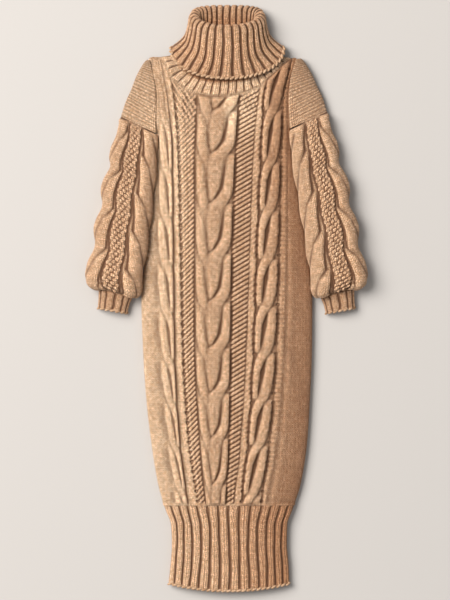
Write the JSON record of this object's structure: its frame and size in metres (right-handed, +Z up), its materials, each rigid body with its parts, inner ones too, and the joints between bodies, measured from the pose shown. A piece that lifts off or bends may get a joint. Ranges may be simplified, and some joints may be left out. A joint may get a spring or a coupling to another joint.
{
  "type": "sweater dress",
  "caption": "Long cable-knit sweater dress with a roll collar, balloon sleeves and deep ribbed hem, laid flat on its back.",
  "frame": {"origin": "under the middle of the dress, on the surface it lies on", "axes": "+Y from hem to neck, +X to the viewer's right seen from above, +Z up off the surface, out of the dress's front"},
  "size_m": [0.6733, 1.4013, 0.0691],
  "materials": {
    "cable_knit": "chunky marled camel wool knit, matt",
    "rib_knit": "chunky marled camel wool rib, matt"
  },
  "bodies": {
    "root": {"front_body": "cable_knit", "back_body": "cable_knit", "hem_rib_front": "rib_knit", "hem_rib_back": "rib_knit", "neck_yoke": "rib_knit", "roll_collar": "rib_knit", "left_shoulder": "cable_knit", "left_sleeve": "cable_knit", "left_cuff": "rib_knit", "right_shoulder": "cable_knit", "right_sleeve": "cable_knit", "right_cuff": "rib_knit"}
  },
  "joints": []
}
